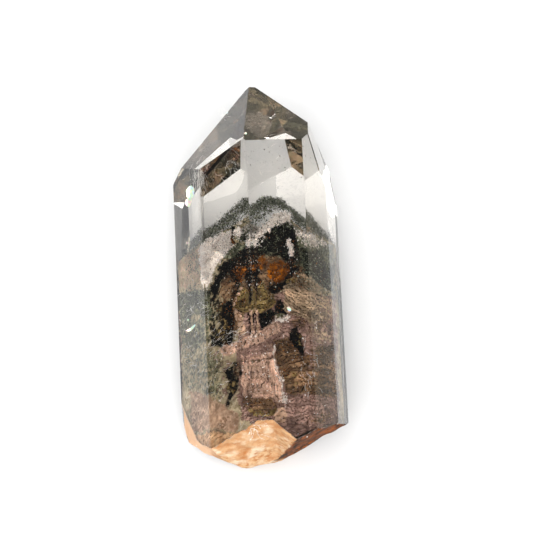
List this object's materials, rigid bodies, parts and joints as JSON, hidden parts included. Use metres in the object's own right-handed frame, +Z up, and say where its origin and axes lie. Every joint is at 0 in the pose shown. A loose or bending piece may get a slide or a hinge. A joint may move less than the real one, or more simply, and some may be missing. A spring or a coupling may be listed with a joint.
{
  "type": "chlorite quartz crystal",
  "caption": "Polished clear quartz point lying on a back face, with a green and brown chlorite phantom inside and a broken, iron-stained end.",
  "frame": {"origin": "centre of the bounding box at the plane the crystal rests on", "axes": "+Y along the crystal towards its tip, +Z up, +X to the right for someone who looks down on it with the tip pointing away"},
  "size_m": [0.033, 0.0794, 0.028],
  "materials": {
    "clear_quartz": "polished",
    "chlorite": "rough, earthy",
    "stained_break": "rough, broken"
  },
  "bodies": {
    "root": {"quartz_crystal": "clear_quartz", "chlorite_phantom": "chlorite"}
  },
  "joints": []
}
